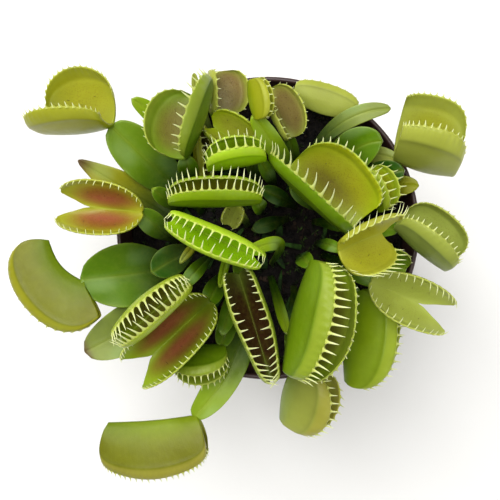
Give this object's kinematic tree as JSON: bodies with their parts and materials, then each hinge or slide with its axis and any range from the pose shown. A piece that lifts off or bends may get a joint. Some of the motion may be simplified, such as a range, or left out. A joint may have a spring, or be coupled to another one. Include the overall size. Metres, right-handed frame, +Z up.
{
  "type": "potted venus flytrap",
  "caption": "Low clump of carnivorous leaves with toothed two-lobed traps, rooted in peat in a tapered round plastic nursery pot.",
  "frame": {"origin": "middle of the pot's flat base, on the surface that it stands on", "axes": "+Z up along the pot's axis; +X to the right and +Y to the top of the picture, which looks straight down"},
  "size_m": [0.1353, 0.1243, 0.1233],
  "materials": {
    "pot": "satin",
    "peat": "matte",
    "leaf_green": "satin",
    "leaf_lime": "satin",
    "leaf_olive": "satin",
    "leaf_pale": "satin",
    "leaf_deep": "satin"
  },
  "bodies": {
    "root": {"pot": "pot", "peat": "peat", "leaf_01": "leaf_olive", "leaf_02": "leaf_green", "leaf_03": "leaf_olive", "leaf_04": "leaf_pale", "leaf_05": "leaf_lime", "leaf_06": "leaf_lime", "leaf_07": "leaf_green", "leaf_08": "leaf_lime", "leaf_09": "leaf_lime", "leaf_10": "leaf_lime", "leaf_11": "leaf_lime", "leaf_12": "leaf_green", "leaf_13": "leaf_green", "leaf_14": "leaf_lime", "leaf_15": "leaf_green", "leaf_16": "leaf_olive", "leaf_17": "leaf_olive", "leaf_18": "leaf_olive", "leaf_19": "leaf_olive", "leaf_20": "leaf_pale", "leaf_21": "leaf_olive", "leaf_22": "leaf_green", "leaf_23": "leaf_green", "leaf_24": "leaf_deep", "leaf_25": "leaf_pale", "leaf_26": "leaf_green", "leaf_27": "leaf_lime", "leaf_28": "leaf_pale", "leaf_29": "leaf_deep", "leaf_30": "leaf_olive", "leaf_31": "leaf_lime", "leaf_32": "leaf_pale", "leaf_33": "leaf_deep", "leaf_34": "leaf_pale", "leaf_35": "leaf_green", "leaf_36": "leaf_olive", "leaf_37": "leaf_pale", "leaf_38": "leaf_lime", "leaf_39": "leaf_deep", "leaf_40": "leaf_pale", "leaf_41": "leaf_deep", "leaf_42": "leaf_green", "leaf_43": "leaf_lime", "leaf_44": "leaf_lime", "leaf_45": "leaf_green", "leaf_46": "leaf_pale"}
  },
  "joints": []
}
